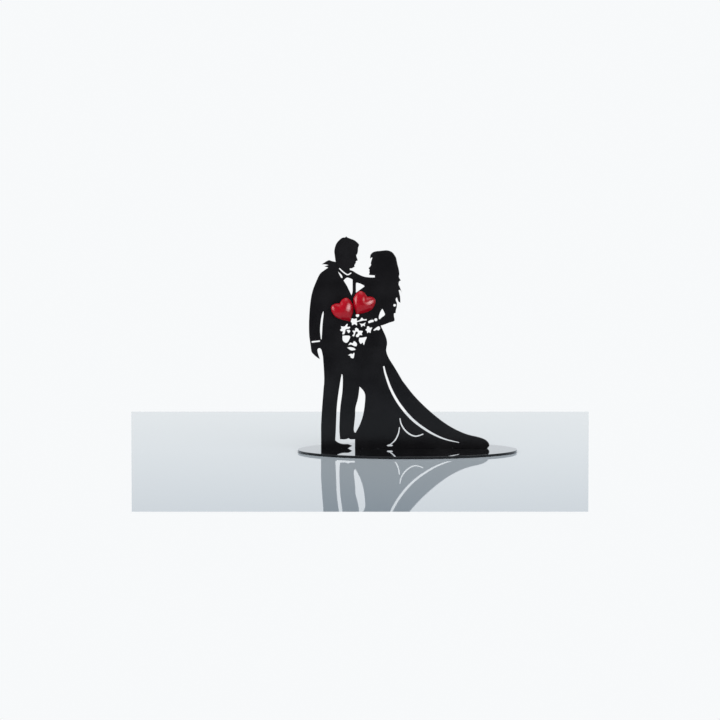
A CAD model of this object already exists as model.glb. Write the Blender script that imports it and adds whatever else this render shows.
"""The looks of a wedding cake topper.

A pierced black couple stands on a gloss oval plate, with two puffy red hearts on its front. Metres, in the
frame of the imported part: +Z up, front towards -Y, origin under the middle of the plate. Each piece is drawn
again from the solid that it stands for: the flat ones with rounded edges, the hearts with a fuller swell.
"""

import math

import bmesh
import bpy
import numpy as np
from mathutils import Matrix, Vector
from mathutils.geometry import delaunay_2d_cdt


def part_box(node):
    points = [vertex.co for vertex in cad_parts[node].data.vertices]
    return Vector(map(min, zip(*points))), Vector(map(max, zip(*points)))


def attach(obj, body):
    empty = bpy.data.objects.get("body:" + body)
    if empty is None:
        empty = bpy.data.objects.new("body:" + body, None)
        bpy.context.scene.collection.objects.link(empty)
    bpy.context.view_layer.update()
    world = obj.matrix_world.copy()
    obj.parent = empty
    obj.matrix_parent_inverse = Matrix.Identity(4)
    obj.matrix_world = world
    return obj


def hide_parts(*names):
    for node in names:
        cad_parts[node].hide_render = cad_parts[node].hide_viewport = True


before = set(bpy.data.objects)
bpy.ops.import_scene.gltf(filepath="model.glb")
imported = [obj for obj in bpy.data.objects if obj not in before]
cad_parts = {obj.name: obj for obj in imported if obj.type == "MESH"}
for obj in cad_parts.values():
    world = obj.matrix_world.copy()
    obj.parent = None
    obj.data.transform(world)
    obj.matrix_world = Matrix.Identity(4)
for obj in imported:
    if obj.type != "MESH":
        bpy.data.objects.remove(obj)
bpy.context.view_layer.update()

MM = 0.001
FRONT = Vector((0, -1, 0))
UP = Vector((0, 0, 1))
DOWN = Vector((0, 0, -1))

# Outlines
WELD = 0.001 * MM  # corners of a solid nearer than this are one point
FLAT = 0.999  # the least cosine between a direction and a face on the side that looks that way
CORNER = math.radians(32)  # a sharper turn stays a corner
STRAIGHT_RUN = 6 * MM  # a longer stretch between two points is straight
CURVE_STEPS = 3  # drawn from each point of the solid to the next
MITRE_LIMIT = 2
FILL_INSIDE = 1  # the kind of filling that stops at the outlines
FILL_TOLERANCE = WELD / 10

# Rounded edges
EDGE_STEPS = 3
INSET_HALVINGS = 6  # tried where a piece is too narrow for its rounded edges
SHEET_EDGE = 0.18 * MM
PLATE_EDGE = 0.4 * MM
GLUE_EDGE = 0.15 * MM
FELT_EDGE = 0.22 * MM

# Hearts
DECIMALS = 6  # of a metre, by which points of a solid are told apart
AXIS_REACH = 1 * MM  # a point nearer to a dome's axis than this is on it
HEART_STEPS = 2  # drawn from each point of the solid's widest ring to the next
HEART_RINGS = 24
HEART_BACK_RINGS = 5
HEART_FULLNESS = 0.68  # 1 is a skin under pressure, and less stands steeper at the rim
CREASE_DEPTH = 0.17  # of the height there, where the crease leaves the notch
CREASE_LENGTH = 5.5 * MM
CREASE_WIDTH = 1.8 * MM

# Set adhesive in the slots
BOND_CUTS = 9
BOND_SAG = 0.15 * MM

# Camera, in front of the figure and a little above it
CAMERA_DISTANCE = 5.0
CAMERA_ELEVATION = math.radians(7.75)  # at which it sees the plate
CAMERA_AIM = Vector((-0.0389, 0.006, 0.0752))  # in the sheet
PIXELS_TALL = 720
PIXELS_PER_METRE = 1219.5  # across the figure

# Table
TABLE_WIDTH = 0.3755
TABLE_FRONT = -0.339
TABLE_BACK = 0.256
TABLE_NEAR = (0.485, 0.57, 0.65)
TABLE_FAR = (0.77, 0.84, 0.885)

# Studio
BACKDROP = (0.935, 0.95, 0.96, 1)
BACKDROP_SPAN = (-0.15, 0.25)  # how far a ray heads back where gloss starts to see that, and sees it all
ROOM_DARK = 0.02  # what gloss sees on the camera's side
FLOOR_GLOW = 0.25  # what gloss sees of the floor in front of the table
FLOOR_SPAN = (-0.08, -0.35)  # how far a ray heads up where that starts, and is full
ROOM_LIGHT_FROM = Vector((0.2, -0.97, 0.05)).normalized()
ROOM_LIGHT_SPAN = (-0.6, 1)  # the cosines with that direction from shade to full light
ROOM_LIGHT = 1.1  # from there
ROOM_SHADE = 0.35  # from the other side

# Lamps
LAMP_TARGET = Vector((-0.045, -0.005, 0.117))  # between the hearts
LAMP_DISTANCE = 0.9
LAMP_RISE = 0.2  # of the distance
LAMP_HEIGHT = 1.1
SIDE_LAMPS = {"right": (47, 1.15, 12), "left": (-76, 0.6, 8.5)}  # degrees from the front, width, radiance
OVERHEAD_PLACE = Vector((0, -0.15, 1.1))
OVERHEAD_TARGET = Vector((0, 0, 0.05))
OVERHEAD_SIZE = (1.6, 1.2)
OVERHEAD_RADIANCE = 1.9

# Materials
NOISE_SPAN = (0.3, 0.7)  # where most of a noise's values lie


def flat_loops(node, facing):
    """The closed edges of a solid's flat side that looks along facing, with the material on their left."""
    bm = bmesh.new()
    bm.from_mesh(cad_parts[node].data)
    bmesh.ops.remove_doubles(bm, verts=bm.verts, dist=WELD)
    flat = [face for face in bm.faces if face.normal.dot(facing) > FLAT]
    within = set(flat)
    following = {}
    for face in flat:
        for corner in face.loops:
            if not any(other in within for other in corner.edge.link_faces if other is not face):
                following[corner.vert] = corner.link_loop_next.vert
    loops = []
    while following:
        start = next(iter(following))
        points = [start.co.copy()]
        vert = following.pop(start)
        while vert is not start:
            points.append(vert.co.copy())
            vert = following.pop(vert)
        loops.append(points)
    bm.free()
    return loops


def tangents(points):
    """The directions in which an outline leaves and reaches each point, which differ at a corner."""
    count = len(points)
    runs = [points[(i + 1) % count] - points[i] for i in range(count)]
    leaving = []
    reaching = []
    for i in range(count):
        before = runs[i - 1]
        after = runs[i]
        if before.angle(after) > CORNER:
            leaving.append(after.normalized())
            reaching.append(before.normalized())
            continue
        if max(before.length, after.length) > STRAIGHT_RUN:
            tangent = max(before, after, key=lambda run: run.length).normalized()
        else:
            tangent = (before.normalized() * after.length + after.normalized() * before.length).normalized()
        leaving.append(tangent)
        reaching.append(tangent)
    return leaving, reaching


def smoothed(points, steps):
    """A closed outline drawn again with a smooth curve between its corners."""
    leaving, reaching = tangents(points)
    drawn = []
    for i, start in enumerate(points):
        j = (i + 1) % len(points)
        end = points[j]
        length = (end - start).length
        for step in range(steps):
            t = step / steps
            ease = t * t * (3 - 2 * t)
            pull_start = leaving[i] * (length * t * (1 - t) ** 2)
            pull_end = reaching[j] * (length * t * t * (1 - t))
            drawn.append(start.lerp(end, ease) + pull_start - pull_end)
    return drawn


def inward(points, facing):
    """For each point of an outline, the mitred direction into the material."""
    count = len(points)
    sides = [facing.cross(points[(i + 1) % count] - points[i]).normalized() for i in range(count)]
    directions = []
    for i in range(count):
        middle = (sides[i - 1] + sides[i]).normalized()
        directions.append(middle / max(middle.dot(sides[i]), 1 / MITRE_LIMIT))
    return directions


def filled(loops, facing):
    """Triangles over the area between closed loops, as places in the row of all their points."""
    across = facing.orthogonal().normalized()
    up = facing.cross(across)
    points = [Vector((point.dot(across), point.dot(up))) for loop in loops for point in loop]
    rings = []
    first = 0
    for loop in loops:
        ring = list(range(first, first + len(loop)))
        area = sum(points[ring[i - 1]].cross(points[ring[i]]) for i in range(len(ring)))
        rings.append(ring if area > 0 else ring[::-1])
        first += len(loop)
    _, _, faces, sources, _, within = delaunay_2d_cdt(points, [], rings, FILL_INSIDE, FILL_TOLERANCE)
    solid = [face for face, around in zip(faces, within) if len(around) == 1]
    return [tuple(sources[corner][0] for corner in face) for face in solid]


def fitting_insets(points, inwards, faces, facing, edge):
    """How far each point of an outline is drawn in: by edge, or less where a face over it would fold."""
    insets = [edge] * len(points)
    for _ in range(INSET_HALVINGS):
        drawn_in = [point + direction * inset for point, direction, inset in zip(points, inwards, insets)]
        narrow = set()
        for a, b, c in faces:
            if (drawn_in[b] - drawn_in[a]).cross(drawn_in[c] - drawn_in[a]).dot(facing) <= 0:
                narrow |= {a, b, c}
        for corner in narrow:
            insets[corner] /= 2
    return insets


def new_piece(name, verts, faces, normals=None):
    """A smooth mesh object, with its own normals where they are given."""
    mesh = bpy.data.meshes.new(name)
    mesh.from_pydata(verts, [], faces)
    mesh.polygons.foreach_set("use_smooth", [True] * len(faces))
    if normals:
        mesh.normals_split_custom_set_from_vertices(normals)
    piece = bpy.data.objects.new(name, mesh)
    bpy.context.scene.collection.objects.link(piece)
    return piece


def dress(piece, node, material):
    """The piece stands for its solid, rides with it and takes its finish."""
    piece.data.materials.append(material)
    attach(piece, "root")
    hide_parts(node)
    return piece


def rounded_sheet(node, facing, edge):
    """A flat piece with the outline and thickness of its solid, and with every edge rounded."""
    loops = [smoothed(loop, CURVE_STEPS) for loop in flat_loops(node, facing)]
    low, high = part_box(node)
    thickness = abs((high - low).dot(facing))
    turns = [step / EDGE_STEPS * math.pi / 2 for step in range(EDGE_STEPS + 1)]
    rings = [(1 - math.sin(a), edge * (1 - math.cos(a)), a) for a in turns]
    rings += [(share, thickness - depth, math.pi - a) for share, depth, a in reversed(rings)]
    points = [point for loop in loops for point in loop]
    inwards = [direction for loop in loops for direction in inward(loop, facing)]
    front = filled(loops, facing)
    insets = fitting_insets(points, inwards, front, facing, edge)
    count = len(points)
    verts = []
    normals = []
    for share, depth, turn in rings:
        for point, direction, inset in zip(points, inwards, insets):
            verts.append(point + direction * (share * inset) - facing * depth)
            normals.append(facing * math.cos(turn) - direction.normalized() * math.sin(turn))
    faces = []
    first = 0
    for loop in loops:
        for ring in range(len(rings) - 1):
            for i in range(len(loop)):
                a = ring * count + first + i
                b = ring * count + first + (i + 1) % len(loop)
                faces.append((a, a + count, b + count, b))
        first += len(loop)
    last = (len(rings) - 1) * count
    faces += front
    faces += [tuple(last + corner for corner in reversed(face)) for face in front]
    return new_piece(f"{node}_finished", verts, faces, normals)


def puffed(flat, triangles, rim):
    """How far an even pressure lifts a skin held along its rim, as a share of its highest place."""
    count = len(flat)
    stiffness = np.zeros((count, count))
    load = np.zeros(count)
    for triangle in triangles:
        for turn in range(3):
            i, j, k = (triangle[(turn + step) % 3] for step in range(3))
            to_i = flat[i] - flat[k]
            to_j = flat[j] - flat[k]
            doubled_area = abs(to_i[0] * to_j[1] - to_i[1] * to_j[0])
            pull = float(to_i @ to_j) / doubled_area / 2
            stiffness[i, j] -= pull
            stiffness[j, i] -= pull
            stiffness[i, i] += pull
            stiffness[j, j] += pull
            load[k] += doubled_area / 6
    lift = np.zeros(count)
    lift[rim:] = np.linalg.solve(stiffness[rim:, rim:], load[rim:])
    return (lift / lift.max()) ** HEART_FULLNESS


def creased(dome, lifts, outline):
    """The lifts of a dome with a crease that runs in from the outline's notch and fades."""
    count = len(outline)
    runs = [outline[(i + 1) % count] - outline[i] for i in range(count)]
    turns = [FRONT.dot(runs[i - 1].normalized().cross(runs[i].normalized())) for i in range(count)]
    notch = outline[turns.index(min(turns))]
    tip = outline[turns.index(max(turns))]
    down = (tip - notch).normalized()
    sunk = []
    for point, lift in zip(dome, lifts):
        along = (point - notch).dot(down)
        aside = (point - notch - down * along).length
        fade = max(0, 1 - max(0, along) / CREASE_LENGTH)
        sunk.append(lift * (1 - CREASE_DEPTH * fade * math.exp(-(aside / CREASE_WIDTH) ** 2)))
    return sunk


def heart_levels(node):
    """The rings of a heart's solid from its back forwards, each in order round the top of its dome."""
    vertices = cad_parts[node].data.vertices
    points = {tuple(round(c, DECIMALS) for c in vert.co) for vert in vertices}
    apex = Vector(min(points, key=lambda point: point[1]))
    rings = {}
    for point in points:
        across = Vector(point) - apex
        if math.hypot(across.x, across.z) > AXIS_REACH:
            rings.setdefault(point[1], []).append((math.atan2(across.z, across.x), point))
    ordered = [rings[level] for level in sorted(rings, reverse=True)]
    return apex, [[Vector(point) for _, point in sorted(ring)] for ring in ordered]


def heart_dome(outline, middle, height):
    """The points of a dome, from its outline to its top, and the triangles between them."""
    count = len(outline)
    turns = [i / HEART_RINGS * math.pi / 2 for i in range(HEART_RINGS)]
    dome = [middle + (point - middle) * math.cos(turn) for turn in turns for point in outline]
    dome.append(middle)
    top = len(dome) - 1
    faces = []
    for ring in range(HEART_RINGS - 1):
        for i in range(count):
            a = ring * count + i
            b = ring * count + (i + 1) % count
            faces += [(a, b, b + count), (a, b + count, a + count)]
    last = (HEART_RINGS - 1) * count
    faces += [(last + i, last + (i + 1) % count, top) for i in range(count)]
    flat = np.array([(point.x, point.z) for point in dome])
    lifts = creased(dome, puffed(flat, faces, count), outline)
    return [point + FRONT * (height * float(lift)) for point, lift in zip(dome, lifts)], faces


def puffy_heart(node):
    """A heart blown up over its widest ring, with a side that draws in to its flat back."""
    apex, levels = heart_levels(node)
    back, widest = levels[:2]
    share = (back[0] - apex).xz.length / (widest[0] - apex).xz.length
    outline = smoothed(widest, HEART_STEPS)
    count = len(outline)
    middle = Vector((apex.x, outline[0].y, apex.z))
    verts, faces = heart_dome(outline, middle, middle.y - apex.y)
    depth = back[0].y - middle.y
    previous = list(range(count))
    for step in range(1, HEART_BACK_RINGS + 1):
        turn = step / HEART_BACK_RINGS * math.pi / 2
        scale = share + (1 - share) * math.cos(turn)
        ring = list(range(len(verts), len(verts) + count))
        verts += [middle + (point - middle) * scale - FRONT * (depth * math.sin(turn)) for point in outline]
        for i in range(count):
            j = (i + 1) % count
            faces.append((previous[j], previous[i], ring[i], ring[j]))
        previous = ring
    faces.append(tuple(reversed(previous)))
    piece = new_piece(f"{node}_puffed", verts, faces)
    subdivision = piece.modifiers.new("smooth skin", "SUBSURF")
    subdivision.levels = 1
    subdivision.render_levels = 1
    return piece


def sunk_bond(node):
    """The adhesive that fills a slot, with an underside that sank a little as it set."""
    low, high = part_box(node)
    middle = (low + high) / 2
    size = high - low
    bm = bmesh.new()
    bmesh.ops.create_cube(bm, size=1, matrix=Matrix.Translation(middle) @ Matrix.Diagonal((*size, 1)))
    bmesh.ops.subdivide_edges(bm, edges=bm.edges, cuts=BOND_CUTS, use_grid_fill=True)
    for vert in bm.verts:
        if vert.co.z < low.z + WELD:
            x = 2 * (vert.co.x - middle.x) / size.x
            y = 2 * (vert.co.y - middle.y) / size.y
            vert.co.z += BOND_SAG * (1 - x ** 4) * (1 - y * y)
    mesh = bpy.data.meshes.new(f"{node}_set")
    bm.to_mesh(mesh)
    bm.free()
    piece = bpy.data.objects.new(f"{node}_set", mesh)
    bpy.context.scene.collection.objects.link(piece)
    return piece


def add(tree, kind, inputs, **settings):
    """A shader node with its settings, and with each input set to a value or joined to a socket."""
    node = tree.nodes.new(kind)
    for name, value in settings.items():
        setattr(node, name, value)
    for name, value in inputs.items():
        if isinstance(value, bpy.types.NodeSocket):
            tree.links.new(value, node.inputs[name])
        else:
            node.inputs[name].default_value = value
    return node


def new_material(name, **values):
    """A material whose shader has these values on its own sockets."""
    material = bpy.data.materials.new(name)
    material.use_nodes = True
    tree = material.node_tree
    shader = tree.nodes["Principled BSDF"]
    for socket, value in values.items():
        shader.inputs[socket.replace("_", " ")].default_value = value
    place = add(tree, "ShaderNodeTexCoord", {}).outputs["Object"]
    return material, tree, shader, place


def feed(tree, shader, **sources):
    """Joins each source to the shader's socket of that name."""
    for socket, source in sources.items():
        tree.links.new(source, shader.inputs[socket.replace("_", " ")])


def stretched(tree, place, scale):
    """Places scaled by their own amount along each axis."""
    return add(tree, "ShaderNodeMapping", {"Vector": place, "Scale": scale}).outputs["Vector"]


def noise(tree, place, scale, detail=2, distortion=0):
    """A noise with about this many lumps to each unit of place."""
    inputs = {"Vector": place, "Scale": scale, "Detail": detail, "Distortion": distortion}
    return add(tree, "ShaderNodeTexNoise", inputs).outputs["Fac"]


def spread(tree, value, low, high):
    """The middle of a noise's range stretched from low to high."""
    start, end = NOISE_SPAN
    inputs = {"Value": value, "From Min": start, "From Max": end, "To Min": low, "To Max": high}
    return add(tree, "ShaderNodeMapRange", inputs).outputs["Result"]


def eased(tree, value, span, low=0, high=1):
    """From low to high, slowly at both ends, over a span of a value."""
    start, end = span
    inputs = {"Value": value, "From Min": start, "From Max": end, "To Min": low, "To Max": high}
    return add(tree, "ShaderNodeMapRange", inputs, interpolation_type="SMOOTHSTEP").outputs["Result"]


def shades(tree, value, first, second, span=NOISE_SPAN):
    """A colour that goes from first to second over a span of a value."""
    ramp = add(tree, "ShaderNodeValToRGB", {"Fac": value})
    for element, position, colour in zip(ramp.color_ramp.elements, span, (first, second)):
        element.position = position
        element.color = (*colour, 1)
    return ramp.outputs["Color"]


def bump(tree, height, depth, strength=1, normal=None):
    """A normal tilted by a height of up to this depth, on top of another normal where one is given."""
    inputs = {"Height": height, "Distance": depth, "Strength": strength}
    if normal:
        inputs["Normal"] = normal
    return add(tree, "ShaderNodeBump", inputs).outputs["Normal"]


def satin_lacquer():
    """Black sprayed lacquer: a fine orange peel, uneven gloss, and cutting marks across the edges."""
    material, tree, shader, place = new_material("satin_lacquer")
    mottle = noise(tree, place, scale=55, detail=3)
    peel = bump(tree, noise(tree, place, scale=900), depth=0.012 * MM)
    marks = noise(tree, stretched(tree, place, scale=(2600, 90, 2600)), scale=1, detail=1)
    normal = add(tree, "ShaderNodeNewGeometry", {}).outputs["Normal"]
    facing = add(tree, "ShaderNodeSeparateXYZ", {"Vector": normal}).outputs["Y"]
    flat = add(tree, "ShaderNodeMath", {0: facing}, operation="ABSOLUTE").outputs["Value"]
    inputs = {"Value": flat, "From Min": 0.7, "From Max": 0.2}
    on_edge = add(tree, "ShaderNodeMapRange", inputs).outputs["Result"]
    feed(
        tree,
        shader,
        Base_Color=shades(tree, mottle, first=(0.0042, 0.004, 0.0052), second=(0.0066, 0.0062, 0.008)),
        Roughness=spread(tree, mottle, low=0.2, high=0.26),
        Normal=bump(tree, marks, depth=0.03 * MM, strength=on_edge, normal=peel),
    )
    return material


def mirror_lacquer():
    """Polished black plate: a clear coat with faint wipe marks."""
    material, tree, shader, place = new_material(
        "mirror_lacquer", Metallic=0.7, Specular_Tint=(0.8, 0.9, 1, 1), Coat_Weight=0.68, Coat_Roughness=0.01
    )
    wiped = stretched(tree, place, scale=(40, 160, 40))
    smudge = noise(tree, wiped, scale=1, detail=4, distortion=0.6)
    feed(
        tree,
        shader,
        Base_Color=shades(tree, smudge, first=(0.016, 0.016, 0.018), second=(0.024, 0.024, 0.027)),
        Roughness=spread(tree, smudge, low=0.02, high=0.07),
    )
    return material


def red_resin():
    """Cast resin under a soft shine, with slight clouds in its colour."""
    material, tree, shader, place = new_material(
        "red_resin", Specular_IOR_Level=0.42, Coat_Weight=0.08, Coat_Roughness=0.1
    )
    clouds = noise(tree, place, scale=180, detail=3)
    feed(
        tree,
        shader,
        Base_Color=shades(tree, clouds, first=(0.345, 0.001, 0.009), second=(0.405, 0.0014, 0.012)),
        Roughness=spread(tree, clouds, low=0.16, high=0.2),
        Normal=bump(tree, noise(tree, place, scale=350), depth=0.006 * MM),
    )
    return material


def white_foam():
    """Adhesive foam with closed cells."""
    material, tree, shader, place = new_material("white_foam", Roughness=0.8)
    cells = add(tree, "ShaderNodeTexVoronoi", {"Vector": place, "Scale": 4200}).outputs["Distance"]
    feed(
        tree,
        shader,
        Base_Color=shades(tree, cells, first=(0.72, 0.71, 0.67), second=(0.6, 0.59, 0.55)),
        Normal=bump(tree, cells, depth=0.06 * MM),
    )
    return material


def dark_epoxy():
    """Set epoxy, dark amber to black."""
    material, tree, shader, place = new_material("dark_epoxy", Coat_Weight=0.5)
    clouds = noise(tree, place, scale=300, detail=3)
    feed(
        tree,
        shader,
        Base_Color=shades(tree, clouds, first=(0.018, 0.016, 0.012), second=(0.032, 0.028, 0.021)),
        Roughness=spread(tree, clouds, low=0.18, high=0.35),
        Normal=bump(tree, clouds, depth=0.04 * MM),
    )
    return material


def black_felt():
    """Pressed felt: matted fibres with a soft sheen."""
    material, tree, shader, place = new_material(
        "black_felt", Roughness=0.95, Sheen_Weight=0.4, Sheen_Roughness=0.5
    )
    fibres = noise(tree, place, scale=1600, detail=6, distortion=2.5)
    feed(
        tree,
        shader,
        Base_Color=shades(tree, fibres, first=(0.007, 0.007, 0.007), second=(0.02, 0.02, 0.02)),
        Normal=bump(tree, fibres, depth=0.12 * MM),
    )
    return material


def topper():
    """Dresses every solid, and gives the upright pieces."""
    lacquer = satin_lacquer()
    mirror = mirror_lacquer()
    resin = red_resin()
    foam = white_foam()
    epoxy = dark_epoxy()
    felt = black_felt()
    upright = [dress(rounded_sheet("couple_silhouette", FRONT, SHEET_EDGE), "couple_silhouette", lacquer)]
    dress(rounded_sheet("base_plate", UP, PLATE_EDGE), "base_plate", mirror)
    for place in ("train", "gown", "shoe"):
        node = f"{place}_tab_bond"
        dress(sunk_bond(node), node, epoxy)
    for side in ("left", "right"):
        heart = f"{side}_heart"
        pad = f"{side}_heart_glue_pad"
        upright.append(dress(puffy_heart(heart), heart, resin))
        dress(rounded_sheet(pad, FRONT, GLUE_EDGE), pad, foam)
    for row in ("front", "rear"):
        for side in ("left", "right"):
            node = f"base_pad_{row}_{side}"
            dress(rounded_sheet(node, DOWN, FELT_EDGE), node, felt)
    return upright


def camera():
    """A far camera that looks at the sheet."""
    data = bpy.data.cameras.new("camera")
    eye = bpy.data.objects.new("camera", data)
    plate_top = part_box("base_plate")[1].z
    height = plate_top + CAMERA_DISTANCE * math.tan(CAMERA_ELEVATION)
    eye.location = (CAMERA_AIM.x, -CAMERA_DISTANCE, height)
    line = CAMERA_AIM - eye.location
    eye.rotation_euler = line.to_track_quat("-Z", "Y").to_euler()
    data.lens = PIXELS_PER_METRE * line.length * data.sensor_width / PIXELS_TALL
    bpy.context.scene.collection.objects.link(eye)
    bpy.context.scene.camera = eye


def table():
    """A pale gloss table top, a little lighter towards its far edge, with sides that run along the view."""
    corners = []
    for side, y in ((-1, TABLE_FRONT), (1, TABLE_FRONT), (1, TABLE_BACK), (-1, TABLE_BACK)):
        reach = (CAMERA_DISTANCE + y) / (CAMERA_DISTANCE + CAMERA_AIM.y)
        corners.append((CAMERA_AIM.x + side * reach * TABLE_WIDTH / 2, y, 0))
    top = new_piece("table", corners, [(0, 1, 2, 3)])
    material, tree, shader, place = new_material("table_gloss", Roughness=0.02, IOR=1.33)
    top.data.materials.append(material)
    along = add(tree, "ShaderNodeSeparateXYZ", {"Vector": place}).outputs["Y"]
    inputs = {"Value": along, "From Min": TABLE_FRONT, "From Max": TABLE_BACK}
    away = add(tree, "ShaderNodeMapRange", inputs).outputs["Result"]
    feed(tree, shader, Base_Color=shades(tree, away, first=TABLE_NEAR, second=TABLE_FAR, span=(0, 1)))


def studio():
    """A pale backdrop all round for the camera; gloss sees it behind the topper and a dim room in front."""
    world = bpy.data.worlds.new("studio")
    bpy.context.scene.world = world
    world.use_nodes = True
    tree = world.node_tree
    way = add(tree, "ShaderNodeTexCoord", {}).outputs["Generated"]
    axes = add(tree, "ShaderNodeSeparateXYZ", {"Vector": way}).outputs
    behind = eased(tree, axes["Y"], BACKDROP_SPAN, low=ROOM_DARK)
    below = eased(tree, axes["Z"], FLOOR_SPAN, high=FLOOR_GLOW)
    room = add(tree, "ShaderNodeMath", {0: behind, 1: below}, operation="MAXIMUM").outputs["Value"]
    inputs = {0: way, 1: ROOM_LIGHT_FROM}
    towards = add(tree, "ShaderNodeVectorMath", inputs, operation="DOT_PRODUCT").outputs["Value"]
    light = eased(tree, towards, ROOM_LIGHT_SPAN, low=ROOM_SHADE, high=ROOM_LIGHT)
    path = add(tree, "ShaderNodeLightPath", {}).outputs
    inputs = {0: path["Is Glossy Ray"], 1: path["Is Transmission Ray"]}
    gloss = add(tree, "ShaderNodeMath", inputs, operation="MAXIMUM").outputs["Value"]
    lit = add(tree, "ShaderNodeBackground", {"Color": (1, 1, 1, 1), "Strength": light}).outputs["Background"]
    mirrored = add(tree, "ShaderNodeBackground", {"Color": BACKDROP, "Strength": room}).outputs["Background"]
    shown = add(tree, "ShaderNodeBackground", {"Color": BACKDROP, "Strength": 1}).outputs["Background"]
    unseen = add(tree, "ShaderNodeMixShader", {0: gloss, 1: lit, 2: mirrored}).outputs["Shader"]
    inputs = {0: path["Is Camera Ray"], 1: unseen, 2: shown}
    surface = add(tree, "ShaderNodeMixShader", inputs).outputs["Shader"]
    tree.links.new(surface, tree.nodes["World Output"].inputs["Surface"])


def soft_box(name, place, target, size, radiance):
    """A soft light that faces its target and fades to its edges; radiance 1 is as bright as white paper."""
    data = bpy.data.lights.new(name, "AREA")
    data.shape = "RECTANGLE"
    data.size, data.size_y = size
    data.energy = radiance * math.pi * size[0] * size[1]
    data.use_nodes = True
    tree = data.node_tree
    across = add(tree, "ShaderNodeNewGeometry", {}).outputs["Parametric"]
    inputs = {"Vector": across, "Location": (-1, -1, 0), "Scale": (2, 2, 1)}
    centred = add(tree, "ShaderNodeMapping", inputs).outputs["Vector"]
    fade = add(tree, "ShaderNodeTexGradient", {"Vector": centred}, gradient_type="SPHERICAL").outputs["Fac"]
    tree.links.new(fade, tree.nodes["Emission"].inputs["Strength"])
    lamp = bpy.data.objects.new(name, data)
    lamp.location = place
    lamp.rotation_euler = (target - place).to_track_quat("-Z", "Y").to_euler()
    bpy.context.scene.collection.objects.link(lamp)
    return lamp


def lights(upright):
    """Two soft boxes for the upright pieces alone, the right one only for their gloss, and one overhead."""
    receivers = bpy.data.collections.new("upright_pieces")
    for piece in upright:
        receivers.objects.link(piece)
    for name, (bearing, width, radiance) in SIDE_LAMPS.items():
        turn = math.radians(bearing)
        place = LAMP_TARGET + LAMP_DISTANCE * Vector((math.sin(turn), -math.cos(turn), LAMP_RISE))
        lamp = soft_box(f"{name}_soft_box", place, LAMP_TARGET, (width, LAMP_HEIGHT), radiance)
        lamp.visible_diffuse = name == "left"
        lamp.light_linking.receiver_collection = receivers
    soft_box("overhead_soft_box", OVERHEAD_PLACE, OVERHEAD_TARGET, OVERHEAD_SIZE, OVERHEAD_RADIANCE)


upright = topper()
camera()
table()
studio()
lights(upright)
bpy.context.scene.view_settings.view_transform = "Standard"
